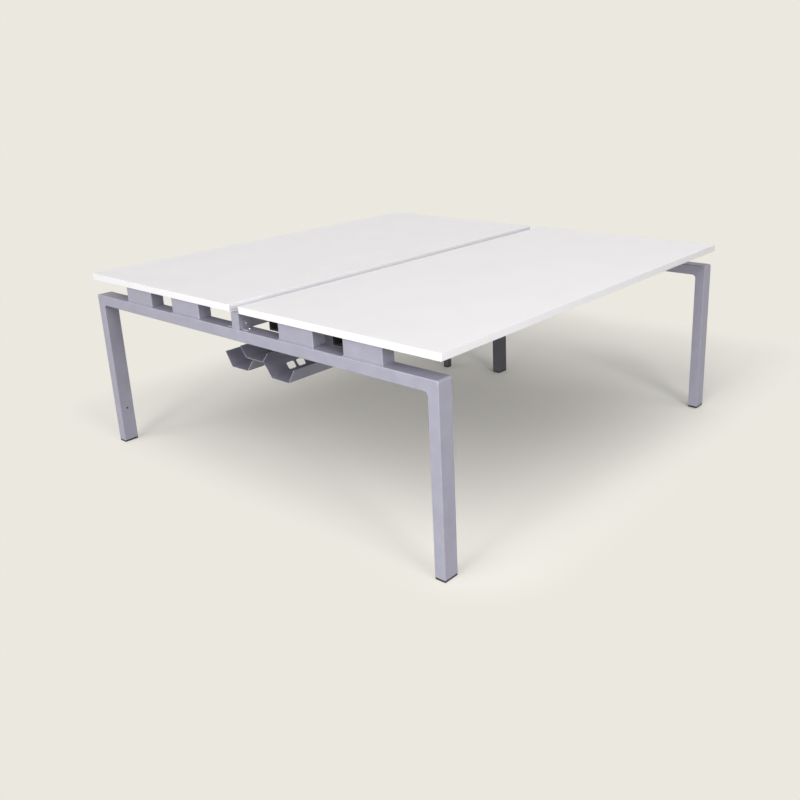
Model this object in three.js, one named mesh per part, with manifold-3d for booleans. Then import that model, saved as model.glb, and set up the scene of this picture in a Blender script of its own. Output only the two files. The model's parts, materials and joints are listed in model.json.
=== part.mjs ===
// Benching desk for two: two white worktops back to back on one silver steel frame.
// Millimetres, +Z up. X runs along the worktops, Y across the pair, and the origin lies
// on the floor under the middle of the desk. Near means -X, far +X, right -Y, left +Y.
import * as THREE from 'three';
import { mergeVertices } from 'three/addons/utils/BufferGeometryUtils.js';
import Module from 'manifold-3d';

const wasm = await Module();
wasm.setup();

// Worktops
const TOP_LENGTH = 1800;
const TOP_DEPTH = 900;
const TOP_THICKNESS = 25;
const TOP_GAP = 50;
const DESK_HEIGHT = 730;
const EDGE_BAND = 2;
const EDGE_CORNER_RADIUS = 2;
const GLUE_LINE = 0.2;

// End frames: welded portals of one rectangular tube, mitred at the corners
const SIDE_OVERHANG = 14;
const END_OVERHANG = 0;
const TUBE_DEPTH = 60;
const TUBE_WIDTH = 42;
const TUBE_WALL = 2;
const TUBE_EDGE_RADIUS = 3;
const OUTER_CORNER_RADIUS = 8;
const INNER_CORNER_RADIUS = 14;
const WELD_GAP = 0.3;

// Stand-offs: folded boxes that lift the worktops off the beams and part each half beam into equal bays
const STANDOFF_HEIGHT = 59;
const STANDOFF_WIDTH = 168;
const STANDOFF_DEPTH = 52;
const STANDOFF_SETBACK = 8;
const STANDOFF_WALL = 2.5;
const STANDOFF_CORNER_RADIUS = 3;
const STANDOFF_FLANGE = 3;
const STANDOFF_BAYS = 3;

// Long rails screwed up under the worktops, beside the stand-offs. The right pair reaches the near end and
// stops short of the far beam. The left worktop is the right one turned half round, and so are its rails.
const LONG_RAIL_WIDTH = 50;
const LONG_RAIL_HEIGHT = 36;
const LONG_RAIL_WALL = 2;
const LONG_RAIL_HEAD_SETBACK = 14;
const LONG_RAIL_TAIL_SETBACK = 90;
const SIDE_GAP = 0.3;

// Centre rail that ties the two portals together, as high as the stand-offs, with caps and brackets
const CENTRE_RAIL_WIDTH = 42;
const CENTRE_RAIL_WALL = 2;
const CENTRE_RAIL_SETBACK = 3;
const RAIL_CAP_THICKNESS = 3;
const RAIL_CAP_SPIGOT = 15;
const SPIGOT_CLEARANCE = 0.3;
const SPIGOT_WALL = 2;
const BRACKET_LENGTH = 38;
const BRACKET_LEG = 34;
const BRACKET_THICKNESS = 3;

// Cable tray: two folded troughs under one folded channel, hung from the centre rail
const SHEET = 2;
const BEND_RADIUS = 6;
const TROUGH_END_CLEARANCE = 22;
const TROUGH_FLANGE_DROP = 130;
const TROUGH_DROP = 57;
const TROUGH_OUTER_WALL_RISE = 53;
const TROUGH_FLANGE_INNER_Y = 2;
const TROUGH_FLANGE_OUTER_Y = 25;
const TROUGH_BOTTOM_INNER_Y = 68;
const TROUGH_BOTTOM_OUTER_Y = 158;
const TROUGH_RIM_Y = 190;
const CHANNEL_END_CLEARANCE = 6;
const CHANNEL_BASE_HALF = 45;
const CHANNEL_RIM_HALF = 76;
const CHANNEL_RISE = 38;
const SEAT_GAP = 0.3;

// Cable cut-outs in the inner wall of each trough
const SLOT_LENGTH = 34;
const SLOT_HEIGHT = 27;
const SLOT_CORNER_RADIUS = 6;
const SLOT_WEB = 11;
const SLOT_FIRST_EDGE = 84;
const SLOT_LOW_EDGE = 10;

// Hangers between the centre rail and the channel
const HANGER_COUNT = 3;
const HANGER_END_INSET = 234;
const HANGER_LENGTH = 40;
const HANGER_HALF_WIDTH = 19;
const HANGER_SHEET = 2.5;
const HANGER_BEND_RADIUS = 5;

// Dark leg under the left trough and slim dark prop under the left worktop, set in from the far end
const TRAY_LEG_INSET = 150;
const PROP_INSET = 246;
const PROP_STANDOFF_OFFSET = 227;
const PROP_SIZE = 30;
const PROP_WALL = 2;
const PROP_PLATE_SIZE = 60;
const PROP_PLATE_THICKNESS = 4;

// Black end plugs and screw-down feet
const PLUG_FLANGE = 4;
const PLUG_FLANGE_INSET = 1.5;
const PLUG_SLEEVE = 24;
const PLUG_CLEARANCE = 0.3;
const FOOT_PAD_HEIGHT = 6;
const FOOT_PAD_CHAMFER = 1.5;
const FOOT_RIM_MARGIN = 4;
const FOOT_GAP = 0.3;
const STEM_RADIUS = 5;
const STEM_LENGTH = 38;
const STEM_CLEARANCE = 0.3;
const ROUND_SIDES = 24;

// Heights and half sizes that follow from the values above
const topUnderside = DESK_HEIGHT - TOP_THICKNESS;
const beamTop = topUnderside - STANDOFF_HEIGHT;
const beamBottom = beamTop - TUBE_WIDTH;
const tubeBottom = FOOT_PAD_HEIGHT + FOOT_GAP + PLUG_FLANGE;
const frameHalf = TOP_LENGTH / 2 - END_OVERHANG;
const beamX = frameHalf - TUBE_DEPTH / 2;
const legOuterY = TOP_GAP / 2 + TOP_DEPTH - SIDE_OVERHANG;
const legInnerY = legOuterY - TUBE_WIDTH;
const legY = legOuterY - TUBE_WIDTH / 2;
const innerStandoffY = legOuterY / STANDOFF_BAYS;
const outerStandoffY = 2 * innerStandoffY;
const trayLegX = frameHalf - TRAY_LEG_INSET;
const trayLegY = (TROUGH_BOTTOM_INNER_Y + TROUGH_BOTTOM_OUTER_Y) / 2;
const propX = frameHalf - PROP_INSET;
const propY = outerStandoffY - PROP_STANDOFF_OFFSET;
const troughFlange = beamTop - TROUGH_FLANGE_DROP;
const troughBottom = troughFlange - TROUGH_DROP;
const troughHalf = frameHalf - TUBE_DEPTH - TROUGH_END_CLEARANCE;
const channelBase = troughFlange + SHEET + SEAT_GAP;
const channelHalf = frameHalf - TUBE_DEPTH - CHANNEL_END_CLEARANCE;

// A cut or a join reaches this far past the faces it works on.
const OVERCUT = 10;

// Finishes
const COLOURS = { silver: 0xb7b5c3, black: 0x1c1c1e, white: 0xf1efee, dark: 0x35343a };

function finish(colour, roughness, metalness) {
  return new THREE.MeshStandardMaterial({ color: colour, roughness, metalness });
}

const silverPaint = () => finish(COLOURS.silver, 0.45, 0.35);
const darkPaint = () => finish(COLOURS.dark, 0.6, 0.2);
const blackPlastic = () => finish(COLOURS.black, 0.6, 0);
const whiteMelamine = () => finish(COLOURS.white, 0.5, 0);

// Solids and booleans
function solidOf(geometry) {
  const bare = geometry.clone();
  bare.deleteAttribute('normal');
  bare.deleteAttribute('uv');
  const merged = mergeVertices(bare, 1e-4);
  const mesh = new wasm.Mesh({
    numProp: 3,
    vertProperties: new Float32Array(merged.attributes.position.array),
    triVerts: new Uint32Array(merged.index.array),
  });
  return new wasm.Manifold(mesh);
}

function geometryOf(solid) {
  const mesh = solid.getMesh();
  const geometry = new THREE.BufferGeometry();
  geometry.setAttribute('position', new THREE.BufferAttribute(mesh.vertProperties, 3));
  geometry.setIndex(new THREE.BufferAttribute(mesh.triVerts, 1));
  geometry.computeVertexNormals();
  return geometry;
}

function cut(geometry, ...cutters) {
  const whole = solidOf(geometry);
  return geometryOf(cutters.reduce((body, cutter) => body.subtract(solidOf(cutter)), whole));
}

function join(geometry, ...others) {
  const whole = solidOf(geometry);
  return geometryOf(others.reduce((body, other) => body.add(solidOf(other)), whole));
}

function keep(geometry, region) {
  return geometryOf(solidOf(geometry).intersect(solidOf(region)));
}

// Shapes
function box(x0, x1, y0, y1, z0, z1) {
  const geometry = new THREE.BoxGeometry(x1 - x0, y1 - y0, z1 - z0);
  return geometry.translate((x0 + x1) / 2, (y0 + y1) / 2, (z0 + z1) / 2);
}

function roundedRectangle(width, height, radius) {
  const shape = new THREE.Shape();
  const x = width / 2 - radius;
  const y = height / 2 - radius;
  shape.absarc(x, y, radius, 0, Math.PI / 2);
  shape.absarc(-x, y, radius, Math.PI / 2, Math.PI);
  shape.absarc(-x, -y, radius, Math.PI, Math.PI * 1.5);
  shape.absarc(x, -y, radius, Math.PI * 1.5, Math.PI * 2);
  return shape;
}

function rectangle(width, height) {
  const corners = [[-1, -1], [1, -1], [1, 1], [-1, 1]];
  return new THREE.Shape(corners.map(([x, y]) => new THREE.Vector2(x * width / 2, y * height / 2)));
}

// Turns a section drawn in Y and Z and pushed along its third axis into one that runs along X.
const ALONG_X = new THREE.Matrix4().makeBasis(
  new THREE.Vector3(0, 1, 0), new THREE.Vector3(0, 0, 1), new THREE.Vector3(1, 0, 0));

function alongX(section, length, curveSegments = 2) {
  const geometry = new THREE.ExtrudeGeometry(section, { depth: length, bevelEnabled: false, curveSegments });
  return geometry.translate(0, 0, -length / 2).applyMatrix4(ALONG_X);
}

function upright(section, bottom, top, curveSegments = 2) {
  const options = { depth: top - bottom, bevelEnabled: false, curveSegments };
  return new THREE.ExtrudeGeometry(section, options).translate(0, 0, bottom);
}

// Rectangular tube, open at both ends, along X or standing up
function tubeAlongX(width, height, wall, length) {
  const skin = alongX(roundedRectangle(width, height, TUBE_EDGE_RADIUS), length);
  return cut(skin, alongX(rectangle(width - 2 * wall, height - 2 * wall), length + 2 * OVERCUT));
}

function tubeUpright(depth, width, wall, bottom, top) {
  const skin = upright(roundedRectangle(depth, width, TUBE_EDGE_RADIUS), bottom, top);
  const bore = upright(rectangle(depth - 2 * wall, width - 2 * wall), bottom - OVERCUT, top + OVERCUT);
  return cut(skin, bore);
}

// A folded sheet: a line with round bends, given half its thickness on each side.
function foldedSheet(corners, thickness, bendRadius, steps = 4) {
  const points = corners.map(([y, z]) => new THREE.Vector2(y, z));
  const last = points.length - 1;
  const direction = (i) => points[i + 1].clone().sub(points[i]).normalize();
  const samples = [{ at: points[0], way: direction(0) }];
  for (let i = 1; i < last; i += 1) {
    const before = direction(i - 1);
    const after = direction(i);
    const turn = Math.atan2(before.cross(after), before.dot(after));
    const side = new THREE.Vector2(-before.y, before.x).multiplyScalar(Math.sign(turn) * bendRadius);
    const setback = bendRadius * Math.tan(Math.abs(turn) / 2);
    const start = points[i].clone().addScaledVector(before, -setback);
    const centre = start.clone().add(side);
    for (let k = 0; k <= steps; k += 1) {
      const angle = turn * k / steps;
      const at = start.clone().rotateAround(centre, angle);
      const way = before.clone().rotateAround(new THREE.Vector2(), angle);
      samples.push({ at, way });
    }
  }
  samples.push({ at: points[last], way: direction(last - 1) });
  const offset = (s, d) => new THREE.Vector2(s.at.x - s.way.y * d, s.at.y + s.way.x * d);
  const right = samples.map((s) => offset(s, -thickness / 2));
  const left = samples.map((s) => offset(s, thickness / 2)).reverse();
  return new THREE.Shape([...right, ...left]);
}

// End frames
function portalOutline(inset, foot) {
  const outer = legOuterY - inset;
  const inner = legInnerY + inset;
  const top = beamTop - inset;
  const under = beamBottom + inset;
  const outerRadius = OUTER_CORNER_RADIUS - inset;
  const innerRadius = INNER_CORNER_RADIUS + inset;
  const shape = new THREE.Shape();
  shape.moveTo(outer, foot);
  shape.lineTo(outer, top - outerRadius);
  shape.absarc(outer - outerRadius, top - outerRadius, outerRadius, 0, Math.PI / 2);
  shape.absarc(-outer + outerRadius, top - outerRadius, outerRadius, Math.PI / 2, Math.PI);
  shape.lineTo(-outer, foot);
  shape.lineTo(-inner, foot);
  shape.absarc(-inner + innerRadius, under - innerRadius, innerRadius, Math.PI, Math.PI / 2, true);
  shape.absarc(inner - innerRadius, under - innerRadius, innerRadius, Math.PI / 2, 0, true);
  shape.lineTo(inner, foot);
  return shape;
}

function portalTube() {
  const skin = new THREE.ExtrudeGeometry(portalOutline(0, tubeBottom - OVERCUT), {
    depth: TUBE_DEPTH - 2 * TUBE_EDGE_RADIUS,
    bevelEnabled: true,
    bevelThickness: TUBE_EDGE_RADIUS,
    bevelSize: TUBE_EDGE_RADIUS,
    bevelOffset: -TUBE_EDGE_RADIUS,
    bevelSegments: 3,
    curveSegments: 3,
  });
  skin.translate(0, 0, -TUBE_DEPTH / 2 + TUBE_EDGE_RADIUS).applyMatrix4(ALONG_X);
  const bore = alongX(portalOutline(TUBE_WALL, tubeBottom - 2 * OVERCUT), TUBE_DEPTH - 2 * TUBE_WALL, 3);
  return cut(skin, bore);
}

// The mitre runs through the outer and inner corners of the portal and past both.
function mitreEnds(side, drop) {
  const reach = INNER_CORNER_RADIUS + OVERCUT;
  const outer = [side * (legOuterY + reach), beamTop + reach - drop];
  const inner = [side * (legInnerY - reach), beamBottom - reach - drop];
  return [outer, inner];
}

function prism(corners) {
  const points = corners.map(([y, z]) => new THREE.Vector2(y, z));
  return alongX(new THREE.Shape(points), TUBE_DEPTH + 2 * OVERCUT);
}

function beamPiece(portal) {
  const [leftOuter, leftInner] = mitreEnds(1, 0);
  const [rightOuter, rightInner] = mitreEnds(-1, 0);
  return keep(portal, prism([leftOuter, rightOuter, rightInner, leftInner]));
}

function legPiece(portal, side) {
  const [outer, inner] = mitreEnds(side, WELD_GAP);
  return keep(portal, prism([outer, inner, [inner[0], tubeBottom], [outer[0], tubeBottom]]));
}

// Stand-offs: closed at the front, top, bottom and ends, open towards the middle of the desk.
function standoff(end) {
  const half = STANDOFF_WIDTH / 2;
  const body = upright(roundedRectangle(STANDOFF_DEPTH, STANDOFF_WIDTH, STANDOFF_CORNER_RADIUS),
    0, STANDOFF_HEIGHT);
  const base = roundedRectangle(STANDOFF_DEPTH, STANDOFF_WIDTH + 2 * STANDOFF_FLANGE, STANDOFF_CORNER_RADIUS);
  const flange = upright(base, 0, STANDOFF_WALL).translate(end * STANDOFF_FLANGE, 0, 0);
  const back = -end * (STANDOFF_DEPTH / 2 + OVERCUT);
  const front = end * (STANDOFF_DEPTH / 2 - STANDOFF_WALL);
  const inside = half - STANDOFF_WALL;
  const hollow = box(Math.min(back, front), Math.max(back, front), -inside, inside,
    STANDOFF_WALL, STANDOFF_HEIGHT - STANDOFF_WALL);
  return cut(join(body, flange), hollow);
}

// Cable tray
const TROUGH_SECTION = [
  [TROUGH_FLANGE_INNER_Y, troughFlange],
  [TROUGH_FLANGE_OUTER_Y, troughFlange],
  [TROUGH_BOTTOM_INNER_Y, troughBottom],
  [TROUGH_BOTTOM_OUTER_Y, troughBottom],
  [TROUGH_RIM_Y, troughBottom + TROUGH_OUTER_WALL_RISE],
];

function slotCutter(side, x) {
  const foot = new THREE.Vector3(0, side * TROUGH_BOTTOM_INNER_Y, troughBottom);
  const head = new THREE.Vector3(0, side * TROUGH_FLANGE_OUTER_Y, troughFlange);
  const up = head.clone().sub(foot).normalize();
  const lengthwise = new THREE.Vector3(1, 0, 0);
  const normal = lengthwise.clone().cross(up);
  const cutter = upright(roundedRectangle(SLOT_LENGTH, SLOT_HEIGHT, SLOT_CORNER_RADIUS),
    -OVERCUT, OVERCUT, 3);
  const centre = foot.addScaledVector(up, SLOT_LOW_EDGE + SLOT_HEIGHT / 2).setX(x);
  return cutter.applyMatrix4(new THREE.Matrix4().makeBasis(lengthwise, up, normal).setPosition(centre));
}

function trough(side) {
  const section = TROUGH_SECTION.map(([y, z]) => [side * y, z]);
  const slots = [];
  for (const end of [-1, 1]) {
    for (let i = 0; i < 2; i += 1) {
      const edge = SLOT_FIRST_EDGE + i * (SLOT_LENGTH + SLOT_WEB);
      slots.push(slotCutter(side, end * (troughHalf - edge - SLOT_LENGTH / 2)));
    }
  }
  return cut(alongX(foldedSheet(section, SHEET, BEND_RADIUS), 2 * troughHalf), ...slots);
}

function channel() {
  const section = [
    [-CHANNEL_RIM_HALF, channelBase + CHANNEL_RISE],
    [-CHANNEL_BASE_HALF, channelBase],
    [CHANNEL_BASE_HALF, channelBase],
    [CHANNEL_RIM_HALF, channelBase + CHANNEL_RISE],
  ];
  return alongX(foldedSheet(section, SHEET, BEND_RADIUS), 2 * channelHalf);
}

function hanger() {
  const head = beamTop - SEAT_GAP - HANGER_SHEET / 2;
  const foot = channelBase + SHEET / 2 + SEAT_GAP + HANGER_SHEET / 2;
  const section = [
    [HANGER_HALF_WIDTH, head],
    [-HANGER_HALF_WIDTH, head],
    [-HANGER_HALF_WIDTH, foot],
    [HANGER_HALF_WIDTH, foot],
  ];
  return alongX(foldedSheet(section, HANGER_SHEET, HANGER_BEND_RADIUS), HANGER_LENGTH);
}

// Centre rail pieces
function railCap(end) {
  const inner = CENTRE_RAIL_WIDTH - 2 * CENTRE_RAIL_WALL - 2 * SPIGOT_CLEARANCE;
  const tall = STANDOFF_HEIGHT - 2 * CENTRE_RAIL_WALL - 2 * SPIGOT_CLEARANCE;
  const plate = alongX(roundedRectangle(CENTRE_RAIL_WIDTH, STANDOFF_HEIGHT, TUBE_EDGE_RADIUS),
    RAIL_CAP_THICKNESS);
  const length = RAIL_CAP_THICKNESS / 2 + RAIL_CAP_SPIGOT;
  const spigot = alongX(rectangle(inner, tall), length).translate(-end * length / 2, 0, 0);
  const depth = RAIL_CAP_SPIGOT + OVERCUT;
  const hollow = alongX(rectangle(inner - 2 * SPIGOT_WALL, tall - 2 * SPIGOT_WALL), depth);
  hollow.translate(-end * (RAIL_CAP_THICKNESS / 2 + depth / 2), 0, 0);
  return cut(join(plate, spigot), hollow);
}

function railBracket(side) {
  const t = BRACKET_THICKNESS;
  const angle = [[0, 0], [BRACKET_LEG, 0], [BRACKET_LEG, t], [t, t], [t, BRACKET_LEG], [0, BRACKET_LEG]];
  const outline = angle.map(([y, z]) => new THREE.Vector2(side * y, z));
  return alongX(new THREE.Shape(outline), BRACKET_LENGTH);
}

// Plugs and feet: the plug closes the tube and guides the stem of the foot.
function plug(depth, width, wall) {
  const flange = upright(
    roundedRectangle(depth - 2 * PLUG_FLANGE_INSET, width - 2 * PLUG_FLANGE_INSET, TUBE_EDGE_RADIUS),
    tubeBottom - PLUG_FLANGE, tubeBottom);
  const margin = 2 * (wall + PLUG_CLEARANCE);
  const sleeve = upright(rectangle(depth - margin, width - margin), tubeBottom - PLUG_FLANGE / 2,
    tubeBottom + PLUG_SLEEVE);
  const bore = new THREE.CylinderGeometry(STEM_RADIUS + STEM_CLEARANCE, STEM_RADIUS + STEM_CLEARANCE,
    PLUG_SLEEVE + PLUG_FLANGE + 2 * OVERCUT, ROUND_SIDES);
  bore.rotateX(Math.PI / 2).translate(0, 0, tubeBottom + (PLUG_SLEEVE - PLUG_FLANGE) / 2);
  return cut(join(flange, sleeve), bore);
}

function foot(padRadius) {
  const profile = [
    [0, 0],
    [padRadius - FOOT_PAD_CHAMFER, 0],
    [padRadius, FOOT_PAD_CHAMFER],
    [padRadius, FOOT_PAD_HEIGHT - FOOT_PAD_CHAMFER],
    [padRadius - FOOT_PAD_CHAMFER, FOOT_PAD_HEIGHT],
    [STEM_RADIUS, FOOT_PAD_HEIGHT],
    [STEM_RADIUS, FOOT_PAD_HEIGHT + STEM_LENGTH],
    [0, FOOT_PAD_HEIGHT + STEM_LENGTH],
  ];
  const points = profile.map(([r, z]) => new THREE.Vector2(r, z));
  return new THREE.LatheGeometry(points, ROUND_SIDES).rotateX(Math.PI / 2);
}

// Assembly
function piece(name, geometry, material, x = 0, y = 0, z = 0) {
  const mesh = new THREE.Mesh(geometry, material);
  mesh.name = name;
  mesh.position.set(x, y, z);
  return mesh;
}

const ENDS = [['near', -1], ['far', 1]];
const SIDES = [['right', -1], ['left', 1]];
const ROWS = [['inner', innerStandoffY], ['outer', outerStandoffY]];

function supportFeet(name, x, y, depth, width, wall) {
  const group = new THREE.Group();
  const padRadius = Math.min(depth, width) / 2 - FOOT_RIM_MARGIN;
  group.position.set(x, y, 0);
  group.add(piece(`${name}_plug`, plug(depth, width, wall), blackPlastic()));
  group.add(piece(`${name}_foot`, foot(padRadius), blackPlastic()));
  return group;
}

function endFrames() {
  const group = new THREE.Group();
  const portal = portalTube();
  const beam = beamPiece(portal);
  for (const [endName, end] of ENDS) {
    group.add(piece(`${endName}_beam`, beam, silverPaint(), end * beamX));
    for (const [sideName, side] of SIDES) {
      const name = `${endName}_${sideName}`;
      group.add(piece(`${name}_leg`, legPiece(portal, side), silverPaint(), end * beamX));
      group.add(supportFeet(name, end * beamX, side * legY, TUBE_DEPTH, TUBE_WIDTH, TUBE_WALL));
    }
  }
  return group;
}

function standoffs() {
  const group = new THREE.Group();
  for (const [endName, end] of ENDS) {
    const x = end * (frameHalf - STANDOFF_SETBACK - STANDOFF_DEPTH / 2);
    for (const [sideName, side] of SIDES) {
      for (const [rowName, y] of ROWS) {
        const name = `${endName}_${sideName}_${rowName}_standoff`;
        group.add(piece(name, standoff(end), silverPaint(), x, side * y, beamTop));
      }
    }
  }
  return group;
}

function rails() {
  const group = new THREE.Group();
  const railZ = beamTop + STANDOFF_HEIGHT / 2;
  const capX = frameHalf - CENTRE_RAIL_SETBACK - RAIL_CAP_THICKNESS / 2;
  const railLength = 2 * (capX - RAIL_CAP_THICKNESS / 2);
  const rail = tubeAlongX(CENTRE_RAIL_WIDTH, STANDOFF_HEIGHT, CENTRE_RAIL_WALL, railLength);
  group.add(piece('centre_rail', rail, silverPaint(), 0, 0, railZ));
  for (const [endName, end] of ENDS) {
    group.add(piece(`${endName}_rail_cap`, railCap(end), silverPaint(), end * capX, 0, railZ));
    for (const [sideName, side] of SIDES) {
      const y = side * (CENTRE_RAIL_WIDTH / 2 + SIDE_GAP);
      const name = `${endName}_${sideName}_rail_bracket`;
      group.add(piece(name, railBracket(side), silverPaint(), end * beamX, y, beamTop));
    }
  }
  const longRailLength = 2 * frameHalf - LONG_RAIL_HEAD_SETBACK - LONG_RAIL_TAIL_SETBACK;
  const longRail = tubeAlongX(LONG_RAIL_WIDTH, LONG_RAIL_HEIGHT, LONG_RAIL_WALL, longRailLength);
  for (const [sideName, side] of SIDES) {
    const x = side * (LONG_RAIL_TAIL_SETBACK - LONG_RAIL_HEAD_SETBACK) / 2;
    for (const [rowName, rowY] of ROWS) {
      const y = side * (rowY - STANDOFF_WIDTH / 2 - SIDE_GAP - LONG_RAIL_WIDTH / 2);
      const z = topUnderside - LONG_RAIL_HEIGHT / 2;
      group.add(piece(`${sideName}_${rowName}_long_rail`, longRail, darkPaint(), x, y, z));
    }
  }
  return group;
}

function cableTray() {
  const group = new THREE.Group();
  for (const [sideName, side] of SIDES) {
    group.add(piece(`${sideName}_trough`, trough(side), silverPaint()));
  }
  group.add(piece('centre_channel', channel(), silverPaint()));
  const hangerSpan = channelHalf - HANGER_END_INSET;
  for (let i = 0; i < HANGER_COUNT; i += 1) {
    const x = hangerSpan * (2 * i / (HANGER_COUNT - 1) - 1);
    group.add(piece(`tray_hanger_${i + 1}`, hanger(), silverPaint(), x));
  }
  return group;
}

function innerSupports() {
  const group = new THREE.Group();
  const legTop = troughBottom - SHEET / 2 - SEAT_GAP;
  const leg = tubeUpright(TUBE_DEPTH, TUBE_WIDTH, TUBE_WALL, tubeBottom, legTop);
  group.add(piece('tray_leg', leg, darkPaint(), trayLegX, trayLegY));
  group.add(supportFeet('tray_leg', trayLegX, trayLegY, TUBE_DEPTH, TUBE_WIDTH, TUBE_WALL));
  const plateBottom = topUnderside - PROP_PLATE_THICKNESS;
  const prop = tubeUpright(PROP_SIZE, PROP_SIZE, PROP_WALL, tubeBottom, plateBottom);
  group.add(piece('prop_leg', prop, darkPaint(), propX, propY));
  const plate = upright(roundedRectangle(PROP_PLATE_SIZE, PROP_PLATE_SIZE, TUBE_EDGE_RADIUS),
    plateBottom, topUnderside);
  group.add(piece('prop_plate', plate, darkPaint(), propX, propY));
  group.add(supportFeet('prop_leg', propX, propY, PROP_SIZE, PROP_SIZE, PROP_WALL));
  return group;
}

function worktops() {
  const group = new THREE.Group();
  const trim = 2 * (EDGE_BAND + GLUE_LINE);
  const board = new THREE.BoxGeometry(TOP_LENGTH - trim, TOP_DEPTH - trim, TOP_THICKNESS);
  const outline = roundedRectangle(TOP_LENGTH, TOP_DEPTH, EDGE_CORNER_RADIUS);
  const slab = upright(outline, topUnderside, DESK_HEIGHT);
  const core = upright(rectangle(TOP_LENGTH - 2 * EDGE_BAND, TOP_DEPTH - 2 * EDGE_BAND),
    topUnderside - OVERCUT, DESK_HEIGHT + OVERCUT);
  const band = cut(slab, core);
  for (const [sideName, side] of SIDES) {
    const y = side * (TOP_GAP + TOP_DEPTH) / 2;
    group.add(piece(`${sideName}_worktop`, board, whiteMelamine(), 0, y, DESK_HEIGHT - TOP_THICKNESS / 2));
    group.add(piece(`${sideName}_edge_band`, band, whiteMelamine(), 0, y));
  }
  return group;
}

const desk = new THREE.Group();
desk.name = 'benching_desk_for_two';
desk.add(endFrames(), standoffs(), rails(), cableTray(), innerSupports(), worktops());

export default desk;
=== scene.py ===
"""Dresses the benching desk for two: skins, edging, welds, screws, finishes, studio and camera.

Metres, +Z up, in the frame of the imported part. Near means -X, far +X, right -Y and left +Y.
"""

import json
import logging
import math
from dataclasses import dataclass, field
from enum import Enum
from typing import Iterator, Optional, Sequence

import bpy
import numpy as np
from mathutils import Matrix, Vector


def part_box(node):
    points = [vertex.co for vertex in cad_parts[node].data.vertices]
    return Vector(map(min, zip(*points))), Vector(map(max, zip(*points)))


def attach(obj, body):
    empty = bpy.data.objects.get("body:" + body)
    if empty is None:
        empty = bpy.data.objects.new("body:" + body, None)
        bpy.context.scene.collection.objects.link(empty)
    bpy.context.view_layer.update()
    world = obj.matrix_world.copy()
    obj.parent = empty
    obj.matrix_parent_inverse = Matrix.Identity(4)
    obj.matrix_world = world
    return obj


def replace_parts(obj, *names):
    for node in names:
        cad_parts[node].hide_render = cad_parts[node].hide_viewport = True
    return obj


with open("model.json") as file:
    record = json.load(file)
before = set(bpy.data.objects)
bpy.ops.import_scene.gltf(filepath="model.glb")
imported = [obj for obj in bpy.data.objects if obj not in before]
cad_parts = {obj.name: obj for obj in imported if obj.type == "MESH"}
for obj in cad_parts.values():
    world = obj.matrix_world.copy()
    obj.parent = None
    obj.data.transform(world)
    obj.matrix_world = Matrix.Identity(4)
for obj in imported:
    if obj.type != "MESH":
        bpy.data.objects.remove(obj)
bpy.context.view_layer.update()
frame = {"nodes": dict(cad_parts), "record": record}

logging.basicConfig(level=logging.INFO, format="%(name)s: %(message)s")
LOG = logging.getLogger("desk")

MM = 0.001
BODY = "desk"
TUBE_WIDTH_MM = 42.0
ENDS = ("near", "far")
SIDES = {"right": -1, "left": 1}
ROWS = ("inner", "outer")
HANGERS = (1, 2, 3)
LEGS = (*(f"{end}_{side}" for end in ENDS for side in SIDES), "tray_leg", "prop_leg")
TINY = 1e-30


class Slot(Enum):
    """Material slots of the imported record."""

    SILVER = "silver_steel"
    DARK = "dark_steel"
    BLACK = "black_plastic"
    FOOT = "foot_plastic"
    BOARD = "white_board"
    EDGING = "white_edging"


def linear(colour: str) -> tuple[float, float, float, float]:
    """Turns an sRGB hex colour into linear light by the standard curve.

    Args:
        colour: Six hex digits, with or without a leading hash.

    Returns:
        Linear red, green, blue and an alpha of one.
    """
    values = np.array([int(colour.lstrip("#")[i : i + 2], 16) for i in (0, 2, 4)]) / 255.0
    out = np.where(values <= 0.04045, values / 12.92, ((values + 0.055) / 1.055) ** 2.4)
    return (*(float(v) for v in out), 1.0)


def add_node(
    tree: bpy.types.NodeTree,
    kind: str,
    inputs: Optional[dict[str | int, object]] = None,
    **settings: object,
) -> bpy.types.Node:
    """Adds one node, with its settings, and sets or links its inputs.

    Args:
        tree: The node tree that takes the node.
        kind: The node's type name.
        inputs: Input name or number to a value, or to an output socket to link from.
        settings: Attributes of the node.

    Returns:
        The new node.
    """
    node = tree.nodes.new(kind)
    for name, value in settings.items():
        setattr(node, name, value)
    for key, value in (inputs or {}).items():
        if isinstance(value, bpy.types.NodeSocket):
            tree.links.new(value, node.inputs[key])
        else:
            node.inputs[key].default_value = value
    return node


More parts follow.
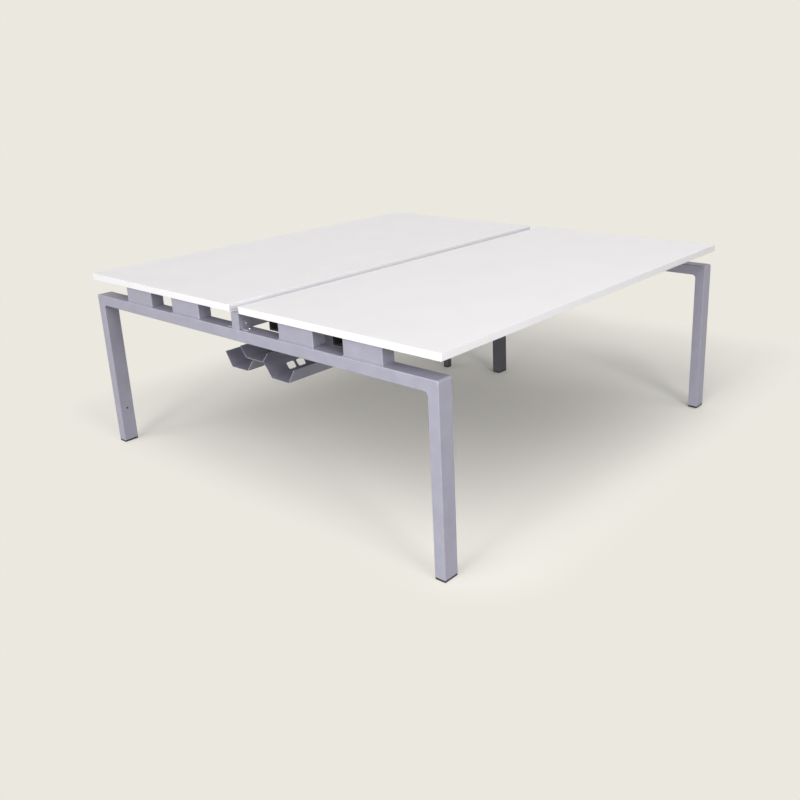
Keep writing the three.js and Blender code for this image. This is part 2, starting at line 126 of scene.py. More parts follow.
@dataclass(frozen=True)
class Finish:
    """A finish: what it is made of, and how its surface varies.

    The colour wanders between two hex values over patches of mottle_mm, the roughness between
    two values over the same patches, and the bump is a fine grain of grain_mm. Where fleck is
    set, the grain also lightens and darkens the colour by that share. The two ranges are the
    stretches of the noise that become the patches and the flecks.
    """

    name: str
    light: str
    deep: str
    metallic: float
    roughness: tuple[float, float]
    ior: float
    mottle_mm: float
    grain_mm: float
    grain_depth_mm: float
    fleck: float = 0.0
    patch_range: tuple[float, float] = (0.3, 0.7)
    fleck_range: tuple[float, float] = (0.25, 0.75)

    def material(self) -> bpy.types.Material:
        """Builds the procedural material on Object coordinates.

        Returns:
            A new material with the finish's colour, roughness and bump.
        """
        made = bpy.data.materials.new(self.name)
        made.use_nodes = True
        tree = made.node_tree
        tree.nodes.clear()
        place = add_node(tree, "ShaderNodeTexCoord").outputs["Object"]
        mottle = add_node(
            tree,
            "ShaderNodeTexNoise",
            {"Vector": place, "Scale": 1.0 / (self.mottle_mm * MM), "Detail": 3.0, "Roughness": 0.55},
        ).outputs["Fac"]
        grain = add_node(
            tree,
            "ShaderNodeTexNoise",
            {"Vector": place, "Scale": 1.0 / (self.grain_mm * MM), "Detail": 2.0, "Roughness": 0.5},
        ).outputs["Fac"]
        patch = add_node(
            tree,
            "ShaderNodeMapRange",
            {"Value": mottle, "From Min": self.patch_range[0], "From Max": self.patch_range[1]},
            clamp=True,
        ).outputs["Result"]
        shade = add_node(
            tree,
            "ShaderNodeMix",
            {"Factor": patch, "A": linear(self.deep), "B": linear(self.light)},
            data_type="RGBA",
        )
        colour = shade.outputs[2]
        if self.fleck > 0:
            spark = add_node(
                tree,
                "ShaderNodeMapRange",
                {
                    "Value": grain,
                    "From Min": self.fleck_range[0],
                    "From Max": self.fleck_range[1],
                    "To Min": 1 - self.fleck,
                    "To Max": 1 + self.fleck,
                },
            ).outputs["Result"]
            colour = add_node(
                tree, "ShaderNodeVectorMath", {0: colour, 1: spark}, operation="MULTIPLY"
            ).outputs["Vector"]
        rough = add_node(
            tree,
            "ShaderNodeMapRange",
            {"Value": patch, "To Min": self.roughness[0], "To Max": self.roughness[1]},
        ).outputs["Result"]
        bump = add_node(
            tree,
            "ShaderNodeBump",
            {"Height": grain, "Strength": 1.0, "Distance": self.grain_depth_mm * MM},
        ).outputs["Normal"]
        shader = add_node(
            tree,
            "ShaderNodeBsdfPrincipled",
            {
                "Base Color": colour,
                "Roughness": rough,
                "Normal": bump,
                "Metallic": self.metallic,
                "IOR": self.ior,
            },
        )
        add_node(tree, "ShaderNodeOutputMaterial", {"Surface": shader.outputs["BSDF"]})
        return made


# Silver polyester powder coat on steel: sprayed and baked, so the eye sees a lavender grey with a soft
# sheen, a faint orange peel, and flakes that are drawn coarse enough to show.
SILVER_POWDER_COAT = Finish(
    "silver_powder_coat", "#A1A0AF", "#9A99A8", 0.20, (0.38, 0.48), 1.5, 60, 2.4, 0.02, fleck=0.05
)
# Black powder coat on rolled tube: a very dark grey with almost no sheen.
BLACK_POWDER_COAT = Finish(
    "black_powder_coat", "#48474E", "#3E3D43", 0.10, (0.50, 0.62), 1.5, 50, 2.4, 0.02, fleck=0.04
)
# Polypropylene, moulded in a spark-eroded tool: black with a fine even grain.
MOULDED_POLYPROPYLENE = Finish(
    "moulded_polypropylene", "#1D1D1F", "#161618", 0.0, (0.50, 0.62), 1.49, 18, 0.9, 0.03
)
# Nylon glide, moulded black: a dull, slightly uneven sheen.
NYLON_GLIDE = Finish("nylon_glide", "#232326", "#17171A", 0.0, (0.42, 0.60), 1.53, 9, 0.8, 0.03)
# White melamine pressed on chipboard: even white, with a pearl grain drawn coarser than the real one.
PRESSED_MELAMINE = Finish(
    "pressed_melamine", "#EBE9EB", "#E8E6E8", 0.0, (0.58, 0.68), 1.42, 140, 1.6, 0.015
)
# ABS edging, extruded and buffed: the board's white with a little more sheen.
BUFFED_ABS = Finish("buffed_abs", "#EAE8EA", "#E7E5E7", 0.0, (0.42, 0.50), 1.48, 90, 1.2, 0.01)
# Zinc-plated steel screws, bright with a cloudy grey.
ZINC_PLATE = Finish("zinc_plate", "#C9CBD0", "#AEB0B6", 1.0, (0.24, 0.36), 1.5, 4, 0.7, 0.01)

FINISHES = {
    Slot.SILVER: SILVER_POWDER_COAT,
    Slot.DARK: BLACK_POWDER_COAT,
    Slot.BLACK: MOULDED_POLYPROPYLENE,
    Slot.FOOT: NYLON_GLIDE,
    Slot.BOARD: PRESSED_MELAMINE,
    Slot.EDGING: BUFFED_ABS,
}


@dataclass
class PaintShop:
    """Makes each finish once and hands out its material."""

    made: dict[str, bpy.types.Material] = field(default_factory=dict)

    def material(self, finish: Finish) -> bpy.types.Material:
        """Returns the finish's material, made on first use."""
        if finish.name not in self.made:
            self.made[finish.name] = finish.material()
        return self.made[finish.name]

    def slot(self, slot: Slot) -> bpy.types.Material:
        """Returns the material of a record slot."""
        return self.material(FINISHES[slot])


def slots_of_nodes() -> dict[str, Slot]:
    """Reads each node's material slot from the record."""
    return {part["node"]: Slot(part["material_slot"]) for part in frame["record"]["subparts"]}


def bodies_of_nodes() -> dict[str, str]:
    """Reads each node's body from the record."""
    bodies = frame["record"]["behaviour"]["bodies"]
    return {node: body for body, nodes in bodies.items() for node in nodes}


def grid_faces(rows: int, columns: int, close_rows: bool, close_columns: bool) -> np.ndarray:
    """Joins a grid of points into quads, round and round where a direction is closed.

    Args:
        rows: Points along the first parameter.
        columns: Points along the second parameter.
        close_rows: Whether the last row joins the first.
        close_columns: Whether the last column joins the first.

    Returns:
        An array of four corner numbers for each quad.
    """
    i, j = np.meshgrid(
        np.arange(rows if close_rows else rows - 1),
        np.arange(columns if close_columns else columns - 1),
        indexing="ij",
    )
    a, b = i * columns + j, ((i + 1) % rows) * columns + j
    c, d = ((i + 1) % rows) * columns + (j + 1) % columns, i * columns + (j + 1) % columns
    return np.stack([a, b, c, d], -1).reshape(-1, 4)


def soft_normals(points: np.ndarray, faces: np.ndarray, limit_deg: float) -> np.ndarray:
    """Works out a normal for each face corner.

    A corner takes the mean normal of the faces round its point that turn from its own face by less
    than the limit, each weighed by the square of its area, so that large flats stay flat and the
    narrow bends beside them run smoothly from one flat to the next.

    Args:
        points: The mesh's points.
        faces: Corner numbers, all faces with the same number of corners.
        limit_deg: The turn past which an edge stays sharp.

    Returns:
        One unit normal for each face corner, face by face.
    """
    sides = faces.shape[1]
    corners = points[faces]
    if sides == 4:
        first, second = corners[:, 2] - corners[:, 0], corners[:, 3] - corners[:, 1]
    else:
        first, second = corners[:, 1] - corners[:, 0], corners[:, -1] - corners[:, 0]
    cross = np.cross(first, second)
    area = np.linalg.norm(cross, axis=1, keepdims=True)
    flat = cross / np.maximum(area, TINY)
    corner = faces.reshape(-1)
    owner = np.repeat(np.arange(len(faces)), sides)
    order = np.argsort(corner, kind="stable")
    count = np.bincount(corner, minlength=len(points))
    start = np.concatenate([[0], np.cumsum(count)[:-1]])
    many = count[corner]
    mine = np.repeat(np.arange(len(corner)), many)
    step = np.arange(len(mine)) - np.repeat(np.cumsum(many) - many, many)
    other = order[start[corner[mine]] + step]
    soft = (flat[owner[mine]] * flat[owner[other]]).sum(1) > math.cos(math.radians(limit_deg))
    share = flat[owner[other]] * area[owner[other]] ** 2 * soft[:, None]
    total = np.stack([np.bincount(mine, share[:, k], len(corner)) for k in range(3)], 1)
    size = np.linalg.norm(total, axis=1, keepdims=True)
    return np.where(size > TINY, total / np.maximum(size, TINY), flat[owner])


def build_piece(
    name: str,
    points: np.ndarray,
    faces: np.ndarray,
    material: bpy.types.Material,
    body: str,
    slot: Optional[Slot],
    limit_deg: float = 40.0,
) -> bpy.types.Object:
    """Puts a surface into a mesh, gives it its finish and lets it ride on a body.

    Args:
        name: The piece's name.
        points: Its points in metres, in the part's frame.
        faces: Its triangles or quads.
        material: Its finish.
        body: The body that it moves with.
        slot: The record slot of its finish, if any; not used.
        limit_deg: The turn past which its edges stay sharp.

    Returns:
        The finished object.
    """
    mesh = bpy.data.meshes.new(name)
    mesh.from_pydata(points.tolist(), [], faces.tolist())
    mesh.polygons.foreach_set("use_smooth", np.ones(len(faces), bool))
    mesh.normals_split_custom_set(soft_normals(points, faces, limit_deg).tolist())
    mesh.materials.append(material)
    piece = bpy.data.objects.new(name, mesh)
    bpy.context.scene.collection.objects.link(piece)
    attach(piece, body)
    return piece


def rounded_loop(
    length: float, width: float, radius: float, steps: int
) -> tuple[np.ndarray, np.ndarray]:
    """A rectangle with round corners, anticlockwise: each corner is a quarter circle about its centre.

    Args:
        length: Size along the first axis.
        width: Size along the second axis.
        radius: Corner radius.
        steps: Points in each corner.

    Returns:
        The points and their outward normals, each in two columns.
    """
    turn = np.linspace(0, math.pi / 2, steps)
    angle = (turn[None, :] + np.arange(4)[:, None] * math.pi / 2).reshape(-1)
    normal = np.stack([np.cos(angle), np.sin(angle)], 1)
    signs = np.repeat(np.array([[1, 1], [-1, 1], [-1, -1], [1, -1]]), steps, axis=0)
    centre = signs * np.array([length / 2 - radius, width / 2 - radius])
    return centre + radius * normal, normal


def carry_round(
    middle: np.ndarray, loop: np.ndarray, normal: np.ndarray, section: np.ndarray
) -> tuple[np.ndarray, np.ndarray]:
    """Carries a section round a level loop: point = loop + offset * normal, at the section's height.

    Args:
        middle: The loop's middle in plan.
        loop: The loop's points, in two columns.
        normal: The loop's outward normals, in two columns.
        section: The section's outward offsets and its heights, in two columns.

    Returns:
        The points of the closed surface and its quads.
    """
    flat = middle + loop[:, None, :] + section[None, :, :1] * normal[:, None, :]
    tall = np.broadcast_to(section[None, :, 1:], (*flat.shape[:2], 1))
    points = np.concatenate([flat, tall], 2).reshape(-1, 3)
    return points, grid_faces(len(loop), len(section), True, True)


@dataclass
class SteelSkin:
    """Smooth skins over the solids: the same faces, with the bends shaded round."""

    limit_deg: float = 40.0
    merge_mm: float = 0.002

    def dress(self, shop: PaintShop) -> None:
        """Gives the flat boards their finish and every other solid but the edging a smooth skin.

        Args:
            shop: Where the finishes come from.
        """
        bodies = bodies_of_nodes()
        for node, slot in slots_of_nodes().items():
            if slot is Slot.EDGING:
                continue
            if slot is Slot.BOARD:
                mesh = frame["nodes"][node].data
                mesh.materials.clear()
                mesh.materials.append(shop.slot(slot))
            else:
                self.cover(node, bodies[node], slot, shop)
            LOG.info("dressed %s", node)

    def cover(self, node: str, body: str, slot: Slot, shop: PaintShop) -> bpy.types.Object:
        """Copies a node's triangles, merges their shared points and shades the bends round.

        Args:
            node: The solid's node.
            body: The body that it moves with.
            slot: Its material slot.
            shop: Where the finish comes from.

        Returns:
            The skin, which stands for the node.
        """
        source = frame["nodes"][node].data
        places = np.empty(len(source.vertices) * 3, np.float32)
        source.vertices.foreach_get("co", places)
        corners = np.empty(len(source.loops), np.int32)
        source.loops.foreach_get("vertex_index", corners)
        places = places.reshape(-1, 3).astype(float)
        key = np.round(places / (self.merge_mm * MM)).astype(np.int64)
        kept, shared = np.unique(key, axis=0, return_index=True, return_inverse=True)[1:]
        faces = shared.reshape(-1)[corners].reshape(-1, 3)
        whole = (faces != np.roll(faces, 1, axis=1)).all(1)
        name, paint = f"{node}_skin", shop.slot(slot)
        skin = build_piece(name, places[kept], faces[whole], paint, body, slot, self.limit_deg)
        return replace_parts(skin, node)


@dataclass
class Edging:
    """The edging strip round a worktop, with its arrises eased."""

    side: str
    corner_radius_mm: float = 3.0
    arris_mm: float = 1.0
    strip_mm: float = 2.0
    corner_steps: int = 7
    arris_steps: int = 5

    def build(self, shop: PaintShop) -> bpy.types.Object:
        """Carries the strip's section round the worktop's outline.

        The section runs up the inner face, over the eased upper arris, down the outer face and back
        under the lower arris. Each arris is a quarter circle.

        Args:
            shop: Where the finish comes from.

        Returns:
            The strip, which stands for the edge band.
        """
        node = f"{self.side}_edge_band"
        low, high = (np.array(v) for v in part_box(node))
        size, middle = high - low, (low + high) / 2
        loop, normal = rounded_loop(size[0], size[1], self.corner_radius_mm * MM, self.corner_steps)
        radius, strip = self.arris_mm * MM, self.strip_mm * MM
        turn = np.linspace(0, math.pi / 2, self.arris_steps)
        over = np.stack([-radius + radius * np.sin(turn), high[2] - radius + radius * np.cos(turn)], 1)
        under = np.stack([-radius + radius * np.cos(turn), low[2] + radius - radius * np.sin(turn)], 1)
        section = np.concatenate([[[-strip, low[2]], [-strip, high[2]]], over, under])
        points, faces = carry_round(middle[:2], loop, normal, section)
        paint = shop.slot(Slot.EDGING)
        piece = build_piece(f"{self.side}_edging", points, faces, paint, BODY, Slot.EDGING)
        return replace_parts(piece, node)


@dataclass
class CornerWeld:
    """The dressed weld along a mitre of the end frame, a low painted bead round the tube."""

    end: str
    side: str
    width_mm: float = 5.0
    height_mm: float = 0.35
    sunk_mm: float = 0.25
    outer_corner_mm: float = 8.0
    inner_corner_mm: float = 14.0
    edge_mm: float = 3.0
    edge_steps: int = 5
    bead_steps: int = 7
    limit_deg: float = 60.0

    def build(self, shop: PaintShop) -> bpy.types.Object:
        """Carries half an ellipse round the section that the mitre cuts through the tube.

        The section is a rectangle with round corners, as wide as the tube's depth and as long as the
        mitre between the outer and the inner corner, both moved in as far as their rounding takes them.

        Args:
            shop: Where the finish comes from.

        Returns:
            The bead.
        """
        beam_low, beam_high = (np.array(v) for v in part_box(f"{self.end}_beam"))
        leg_low, leg_high = (np.array(v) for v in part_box(f"{self.end}_{self.side}_leg"))
        sign = SIDES[self.side]
        outer_y = leg_high[1] if sign > 0 else leg_low[1]
        outer = np.array([outer_y, beam_high[2]])
        inner = outer - np.array([sign, 1.0]) * TUBE_WIDTH_MM * MM
        along = (outer - inner) / np.linalg.norm(outer - inner)
        bulge = math.sqrt(2) - 1
        outer = outer - along * self.outer_corner_mm * MM * bulge
        inner = inner - along * self.inner_corner_mm * MM * bulge
        depth = beam_high[0] - beam_low[0]
        length = np.linalg.norm(outer - inner)
        loop, normal = rounded_loop(length, depth, self.edge_mm * MM, self.edge_steps)
        centre = np.array([(beam_low[0] + beam_high[0]) / 2, *((outer + inner) / 2)])
        first, second = np.array([0, *along]), np.array([1.0, 0, 0])
        across = np.cross(first, second)
        path = centre + loop[:, :1] * first + loop[:, 1:] * second
        out = normal[:, :1] * first + normal[:, 1:] * second
        turn = np.linspace(0, math.pi, self.bead_steps)
        rise = np.append(self.height_mm * np.sin(turn), -self.sunk_mm) * MM
        spread = np.append(self.width_mm / 2 * np.cos(turn), 0.0) * MM
        points = path[:, None] + out[:, None] * rise[None, :, None] + across * spread[None, :, None]
        faces = grid_faces(len(path), len(rise), True, True)
        name, paint = f"{self.end}_{self.side}_weld", shop.slot(Slot.SILVER)
        places = points.reshape(-1, 3)
        return build_piece(name, places, faces, paint, BODY, Slot.SILVER, self.limit_deg)


@dataclass
class Screws:
    """A set of button-head screws with a plain round socket, merged into one piece."""

    name: str
    places_mm: Sequence[tuple[float, float, float]]
    axes: Sequence[tuple[float, float, float]]
    head_radius_mm: float = 5.0
    head_height_mm: float = 3.0
    socket_mm: float = 2.0
    socket_depth_mm: float = 1.8
    crown_mm: float = 0.6
    rim_mm: float = 0.4
    dome_steps: int = 6
    sides: int = 24
    limit_deg: float = 35.0

    def profile(self) -> np.ndarray:
        """Half the head: socket floor and wall, flat crown, domed shoulder, rim and underside.

        Returns:
            Radius and height of each point in metres, from the middle of the socket to the middle
            of the underside. The shoulder is a quarter of an ellipse.
        """
        rim, top, socket = self.head_radius_mm, self.head_height_mm, self.socket_mm
        floor, crown = top - self.socket_depth_mm, socket + self.crown_mm
        turn = np.linspace(0, math.pi / 2, self.dome_steps)
        out = crown + (rim - crown) * np.sin(turn)
        up = self.rim_mm + (top - self.rim_mm) * np.cos(turn)
        start = [[0.0, floor], [socket, floor], [socket, top], [socket + self.crown_mm / 2, top]]
        return np.concatenate([start, np.stack([out, up], 1), [[rim, 0.0], [0.0, 0.0]]]) * MM

    def build(self, shop: PaintShop) -> bpy.types.Object:
        """Turns the profile about each screw's axis: point = place + radius * round + height * axis.

        Args:
            shop: Where the finish comes from.

        Returns:
            All the set's heads in one piece.
        """
        profile = self.profile()
        turn = np.arange(self.sides) * 2 * math.pi / self.sides
        axis = np.array(self.axes, float)
        guide = np.where(np.abs(axis[:, :1]) < 0.5, [[1.0, 0, 0]], [[0, 1.0, 0]])
        second = np.cross(axis, guide)
        cosine, sine = np.cos(turn)[None, :, None], np.sin(turn)[None, :, None]
        ring = cosine * guide[:, None] + sine * second[:, None]
        place = np.array(self.places_mm, float) * MM
        points = (
            place[:, None, None]
            + ring[:, :, None] * profile[None, None, :, :1]
            + axis[:, None, None] * profile[None, None, :, 1:]
        )
        one = grid_faces(self.sides, len(profile), True, False)[:, ::-1]
        first = np.arange(len(place)) * self.sides * len(profile)
        faces = (one[None] + first[:, None, None]).reshape(-1, 4)
        paint = shop.material(ZINC_PLATE)
        return build_piece(self.name, points.reshape(-1, 3), faces, paint, BODY, None, self.limit_deg)


@dataclass
class ScrewPlan:
    """Where the screws sit that hold the brackets, hangers, plate and long rails."""

    bracket_sheet_mm: float = 3.0
    bracket_reach_mm: float = 20.0
    hanger_sheet_mm: float = 2.5
    hanger_aside_mm: float = 4.0
    plate_edge_mm: float = 8.0
    plate_head_mm: tuple[float, float] = (4.0, 2.4)
    rail_spacing_mm: float = 300.0
    rail_count: int = 6
    rail_head_mm: float = 4.5

    @staticmethod
    def box_mm(node: str) -> tuple[np.ndarray, np.ndarray]:
        """Gives a node's lowest and highest corners in millimetres."""
        low, high = (np.array(corner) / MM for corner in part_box(node))
        return low, high

    def brackets(self) -> Screws:
        """Two screws on each angle bracket: one into the centre rail and one into the beam.

        Returns:
            The set for all four brackets.
        """
        places, axes = [], []
        sheet, reach = self.bracket_sheet_mm, self.bracket_reach_mm
        for end in ENDS:
            for side, sign in SIDES.items():
                low, high = self.box_mm(f"{end}_{side}_rail_bracket")
                x, inner = (low[0] + high[0]) / 2, low[1] if sign > 0 else high[1]
                places.append((x, inner + sign * sheet, low[2] + reach))
                places.append((x, inner + sign * reach, low[2] + sheet))
                axes += [(0, sign, 0), (0, 0, 1)]
        return Screws("bracket_screws", places, axes)

    def hangers(self) -> Screws:
        """A lower and an upper screw on each hanger, heads inside it.

        Returns:
            The set for all the hangers.
        """
        places, axes = [], []
        aside, sheet = self.hanger_aside_mm, self.hanger_sheet_mm
        for number in HANGERS:
            low, high = self.box_mm(f"tray_hanger_{number}")
            x = (low[0] + high[0]) / 2
            places += [(x, aside, low[2] + sheet), (x, aside, high[2] - sheet)]
            axes += [(0, 0, 1), (0, 0, -1)]
        return Screws("hanger_screws", places, axes)

    def plate(self) -> Screws:
        """One screw in each corner of the prop's plate, heads down.

        Returns:
            The set of four.
        """
        low, high = self.box_mm("prop_plate")
        low_x, low_y = low[:2] + self.plate_edge_mm
        high_x, high_y = high[:2] - self.plate_edge_mm
        places = [(x, y, low[2]) for x in (low_x, high_x) for y in (low_y, high_y)]
        radius, height = self.plate_head_mm
        axes = [(0, 0, -1)] * len(places)
        return Screws("prop_plate_screws", places, axes, head_radius_mm=radius, head_height_mm=height)

    def rail(self, name: str) -> Screws:
        """A row of screws up through a long rail, evenly spaced about the desk's middle.

        Args:
            name: The rail's side and row, as in its node's name.

        Returns:
            The row's set.
        """
        low, high = self.box_mm(f"{name}_long_rail")
        along = (np.arange(self.rail_count) - (self.rail_count - 1) / 2) * self.rail_spacing_mm
        places = [(x, (low[1] + high[1]) / 2, low[2]) for x in along]
        axes = [(0, 0, -1)] * len(places)
        return Screws(f"{name}_rail_screws", places, axes, head_radius_mm=self.rail_head_mm)

    def sets(self) -> Iterator[Screws]:
        """Lists every set of screws on the desk.

        Returns:
            The sets, one after the other.
        """
        yield self.brackets()
        yield self.hangers()
        yield self.plate()
        for side in SIDES:
            for row in ROWS:
                yield self.rail(f"{side}_{row}")


@dataclass
class HolePlug:
    """A low domed plug that closes a hole in the inner face of a leg."""

    leg: str = "near_left"
    height_mm: float = 150.0
    radius_mm: float = 4.0
    rise_mm: float = 0.8
    sunk_mm: float = 0.5
    dome_steps: int = 5
    sides: int = 24

    def build(self, shop: PaintShop) -> bpy.types.Object:
        """Turns a low dome about the hole's axis, which runs across the desk.

        Args:
            shop: Where the finish comes from.

        Returns:
            The plug.
        """
        low, high = (np.array(v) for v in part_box(f"{self.leg}_foot"))
        x, y = (low[:2] + high[:2]) / 2
        inward = -math.copysign(1.0, y)
        bend = np.linspace(0, math.pi / 2, self.dome_steps)
        radius = np.append(self.radius_mm * np.sin(bend), [self.radius_mm, 0.0]) * MM
        out = np.append(self.rise_mm * np.cos(bend), [-self.sunk_mm, -self.sunk_mm]) * MM
        turn = np.arange(self.sides) * 2 * math.pi / self.sides
        across = x + np.cos(turn)[:, None] * radius
        up = self.height_mm * MM + np.sin(turn)[:, None] * radius
        face = y + inward * (TUBE_WIDTH_MM / 2 * MM + np.broadcast_to(out, across.shape))
        points = np.stack([across, face, up], -1).reshape(-1, 3)
        faces = grid_faces(self.sides, len(radius), True, False)[:, ::-1]
        return build_piece("leg_hole_plug", points, faces, shop.slot(Slot.BLACK), BODY, Slot.BLACK)


@dataclass
class PlugRim:
    """The moulded rim of an end plug, the black line that the eye sees under a leg."""

    leg: str
    grow_mm: float = 1.0
    wall_mm: float = 1.8
    flange_mm: float = 4.0
    above_floor_mm: float = 2.5
    corner_mm: float = 3.0
    ease_mm: float = 0.8
    corner_steps: int = 5
    limit_deg: float = 50.0

    def build(self, shop: PaintShop) -> bpy.types.Object:
        """Carries the rim's section round the plug.

        The section runs up the inside, across under the tube's end, down the outside and over an
        eased lower edge.

        Args:
            shop: Where the finish comes from.

        Returns:
            The rim, which hangs round the pad without touching it.
        """
        low, high = (np.array(v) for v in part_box(f"{self.leg}_plug"))
        size = high - low + 2 * self.grow_mm * MM
        loop, normal = rounded_loop(size[0], size[1], self.corner_mm * MM, self.corner_steps)
        top, foot = low[2] + self.flange_mm * MM, self.above_floor_mm * MM
        wall, ease = self.wall_mm * MM, self.ease_mm * MM
        section = np.array([[-wall, foot], [-wall, top], [0, top], [0, foot + ease], [-ease, foot]])
        points, faces = carry_round((low + high)[:2] / 2, loop, normal, section)
        name, paint = f"{self.leg}_plug_rim", shop.slot(Slot.BLACK)
        return build_piece(name, points, faces, paint, BODY, Slot.BLACK, self.limit_deg)


@dataclass(frozen=True)
class PhotoCamera:
    """The camera that took the view: found from the desk's corners in the picture."""

    place: tuple[float, float, float] = (-2.5953, -2.3958, 1.4557)
    turn_deg: tuple[float, float, float] = (72.275, 1.747, -50.255)
    focal_px: float = 864.7
    centre_px: tuple[float, float] = (450.0, 350.0)
    frame_px: float = 800.0
    sensor_mm: float = 36.0
    clip_m: tuple[float, float] = (0.05, 200.0)

    def build(self) -> bpy.types.Object:
        """Places the camera and makes it the scene's own.

        Returns:
            The camera object.
        """
        data = bpy.data.cameras.new("photo_camera")
        data.sensor_width = self.sensor_mm
        data.lens = self.focal_px * self.sensor_mm / self.frame_px
        data.shift_x = 0.5 - self.centre_px[0] / self.frame_px
        data.shift_y = self.centre_px[1] / self.frame_px - 0.5
        data.clip_start, data.clip_end = self.clip_m
        camera = bpy.data.objects.new("photo_camera", data)
        camera.location = self.place
        camera.rotation_euler = [math.radians(v) for v in self.turn_deg]
        bpy.context.scene.collection.objects.link(camera)
        bpy.context.scene.camera = camera
        return camera


def turn_towards(back: Sequence[float]) -> tuple[float, float, float]:
    """Works out the turn that points a lamp's back along a direction.

    Args:
        back: The direction that the light comes from.

    Returns:
        Euler angles for the lamp.
    """
    way = np.array(back) / np.linalg.norm(back)
    return (math.acos(way[2]), 0.0, math.atan2(way[1], way[0]) + math.pi / 2)


@dataclass(frozen=True)
class Sun:
    """One soft, distant studio lamp, the same all over the desk."""

    name: str
    comes_from: tuple[float, float, float]
    level: float
    spread_deg: float

    def build(self) -> bpy.types.Object:
        """Makes the lamp shine from its direction. A level of one lights a white face to white.

        Returns:
            The lamp object.
        """
        data = bpy.data.lights.new(self.name, "SUN")
        data.energy = self.level * math.pi
        data.angle = math.radians(self.spread_deg)
        lamp = bpy.data.objects.new(self.name, data)
        lamp.rotation_euler = turn_towards(self.comes_from)
        bpy.context.scene.collection.objects.link(lamp)
        return lamp


@dataclass(frozen=True)
class Panel:
    """A square soft box, near enough for its light to fall off along the desk."""

    name: str
    place_m: tuple[float, float, float]
    aim_m: tuple[float, float, float]
    size_m: float
    level: float

    def build(self) -> bpy.types.Object:
        """Turns the panel to its aim. A level of one lights a white face at the aim to white.

        Returns:
            The lamp object.
        """
        way = np.array(self.place_m) - np.array(self.aim_m)
        data = bpy.data.lights.new(self.name, "AREA")
        data.shape, data.size = "SQUARE", self.size_m
        data.energy = self.level * (math.pi * float(np.linalg.norm(way))) ** 2
        lamp = bpy.data.objects.new(self.name, data)
        lamp.location = self.place_m
        lamp.rotation_euler = turn_towards(tuple(way))
        bpy.context.scene.collection.objects.link(lamp)
        return lamp


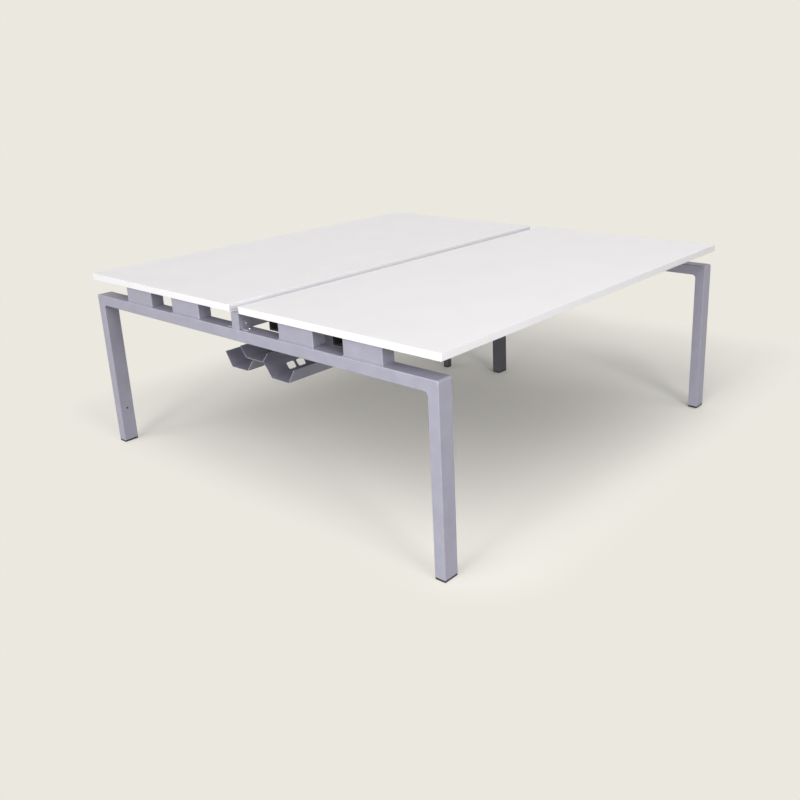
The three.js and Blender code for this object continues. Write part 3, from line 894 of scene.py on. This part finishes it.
@dataclass
class Studio:
    """A plain pale floor that runs into a backdrop of the same colour, under soft light.

    Light that bounces off the floor is kept low, as on a dark carpet, while the camera sees it pale.
    """

    backdrop: str = "#EBE8E0"
    floor: str = "#EFECE5"
    dim_floor: str = "#6E6C69"
    sky_horizon: float = 0.0
    sky_zenith: float = 0.77
    floor_rings_m: tuple[float, float] = (1.0, 30.0)
    floor_rings: int = 8
    floor_sides: int = 48
    # Inside this plan box the floor keeps its lit shading; beyond it the floor glows in the backdrop
    # colour, which at the desk's near end and right edge is painted light over part of its shadow.
    shade_low_m: tuple[float, float] = (-0.64, -0.85)
    shade_high_m: tuple[float, float] = (1.70, 1.25)
    fade_m: float = 0.40
    lamps: tuple[Sun | Panel, ...] = (
        Panel("front_panel", (-5.0, -1.0, 0.62), (-0.9, -0.9, 0.6), 1.2, 0.64),
        Panel("side_panel", (-1.5, -4.5, 1.9), (-0.9, -0.9, 0.6), 1.6, 0.64),
        Sun("key_lamp", (-0.722, -0.063, 0.689), 0.38, 48.0),
        Sun("window_lamp", (-0.853, 0.492, 0.174), 0.30, 40.0),
        Sun("room_lamp", (0.171, -0.970, 0.174), 0.25, 40.0),
    )

    def build_floor(self) -> bpy.types.Object:
        """Makes a disc of rings about the desk: point = radius * round, at the floor's height.

        Returns:
            The floor.
        """
        turn = np.arange(self.floor_sides) * 2 * math.pi / self.floor_sides
        radius = np.array([0.0, *np.geomspace(*self.floor_rings_m, self.floor_rings)])
        x, y = np.cos(turn)[:, None] * radius, np.sin(turn)[:, None] * radius
        points = np.stack([x, y, np.zeros_like(x)], -1).reshape(-1, 3)
        faces = grid_faces(self.floor_sides, len(radius), True, False)[:, ::-1]
        mesh = bpy.data.meshes.new("floor")
        mesh.from_pydata(points.tolist(), [], faces.tolist())
        mesh.materials.append(self.floor_material())
        floor = bpy.data.objects.new("floor", mesh)
        bpy.context.scene.collection.objects.link(floor)
        return floor

    @staticmethod
    def seen_rays(tree: bpy.types.NodeTree) -> bpy.types.NodeSocket:
        """Gives one for rays that show a surface to the eye, straight, mirrored or through a pane.

        Args:
            tree: The node tree that takes the nodes.

        Returns:
            The socket with one for camera, glossy and transmission rays and zero for the rest.
        """
        rays = add_node(tree, "ShaderNodeLightPath").outputs
        most = rays["Is Camera Ray"]
        for kind in ("Is Glossy Ray", "Is Transmission Ray"):
            both = {0: most, 1: rays[kind]}
            most = add_node(tree, "ShaderNodeMath", both, operation="MAXIMUM").outputs["Value"]
        return most

    def floor_material(self) -> bpy.types.Material:
        """Makes a matt floor under and behind the desk that fades into the plain backdrop colour.

        The fade follows the distance outside a plan box: the length of |place - middle| - half its
        size, with what is negative taken as zero. The box stops short of the desk's near end and its
        right edge, so there the backdrop colour glows in over part of the desk's own shadow and the
        near feet's contact shadows: painted light.

        Returns:
            The floor's material.
        """
        made = bpy.data.materials.new("studio_floor")
        made.use_nodes = True
        tree = made.node_tree
        tree.nodes.clear()
        seen = self.seen_rays(tree)
        place = add_node(tree, "ShaderNodeTexCoord").outputs["Object"]
        low, high = np.array((*self.shade_low_m, 0.0)), np.array((*self.shade_high_m, 0.0))
        steps = (
            ("SUBTRACT", (low + high) / 2),
            ("ABSOLUTE", np.zeros(3)),
            ("SUBTRACT", (high - low) / 2),
            ("MAXIMUM", np.zeros(3)),
        )
        for step, other in steps:
            ends = {0: place, 1: other}
            place = add_node(tree, "ShaderNodeVectorMath", ends, operation=step).outputs["Vector"]
        reach = add_node(tree, "ShaderNodeVectorMath", {0: place}, operation="LENGTH").outputs["Value"]
        fade = add_node(
            tree,
            "ShaderNodeMapRange",
            {"Value": reach, "From Min": 0.0, "From Max": self.fade_m},
            interpolation_type="SMOOTHSTEP",
        ).outputs["Result"]
        tone = add_node(
            tree,
            "ShaderNodeMix",
            {"Factor": seen, "A": linear(self.dim_floor), "B": linear(self.floor)},
            data_type="RGBA",
        ).outputs[2]
        matt = add_node(tree, "ShaderNodeBsdfDiffuse", {"Color": tone}).outputs["BSDF"]
        # The backdrop colour as a glow: an even backdrop far off, and painted light where the fade
        # reaches into the desk's shadow.
        plain = add_node(tree, "ShaderNodeEmission", {"Color": linear(self.backdrop), "Strength": seen})
        mixed = add_node(tree, "ShaderNodeMixShader", {0: fade, 1: matt, 2: plain.outputs["Emission"]})
        add_node(tree, "ShaderNodeOutputMaterial", {"Surface": mixed.outputs["Shader"]})
        return made

    def build_world(self) -> bpy.types.World:
        """Makes white light, strongest overhead, while the eye sees the backdrop colour instead.

        Returns:
            The world, set as the scene's own.
        """
        world = bpy.data.worlds.new("studio")
        world.use_nodes = True
        tree = world.node_tree
        tree.nodes.clear()
        seen = self.seen_rays(tree)
        way = add_node(tree, "ShaderNodeTexCoord").outputs["Generated"]
        height = add_node(tree, "ShaderNodeSeparateXYZ", {0: way}).outputs["Z"]
        level = add_node(
            tree,
            "ShaderNodeMapRange",
            {"Value": height, "To Min": self.sky_horizon, "To Max": self.sky_zenith},
        ).outputs["Result"]
        light = add_node(
            tree, "ShaderNodeBackground", {"Color": (1.0, 1.0, 1.0, 1.0), "Strength": level}
        ).outputs["Background"]
        plain = add_node(
            tree, "ShaderNodeBackground", {"Color": linear(self.backdrop), "Strength": 1.0}
        ).outputs["Background"]
        mixed = add_node(tree, "ShaderNodeMixShader", {0: seen, 1: light, 2: plain})
        add_node(tree, "ShaderNodeOutputWorld", {"Surface": mixed.outputs["Shader"]})
        bpy.context.scene.world = world
        return world

    def build(self) -> None:
        """Sets the floor, the world and the lamps, and the plain view transform."""
        self.build_floor()
        self.build_world()
        for lamp in self.lamps:
            lamp.build()
        bpy.context.scene.view_settings.view_transform = "Standard"


def main() -> None:
    """Builds every sub-assembly in order, then the studio and the camera."""
    shop = PaintShop()
    SteelSkin().dress(shop)
    for side in SIDES:
        LOG.info("built %s", Edging(side).build(shop).name)
    for end in ENDS:
        for side in SIDES:
            LOG.info("built %s", CornerWeld(end, side).build(shop).name)
    for screws in ScrewPlan().sets():
        LOG.info("built %s", screws.build(shop).name)
    LOG.info("built %s", HolePlug().build(shop).name)
    for leg in LEGS:
        LOG.info("built %s", PlugRim(leg).build(shop).name)
    Studio().build()
    PhotoCamera().build()


if __name__ == "__main__":
    main()
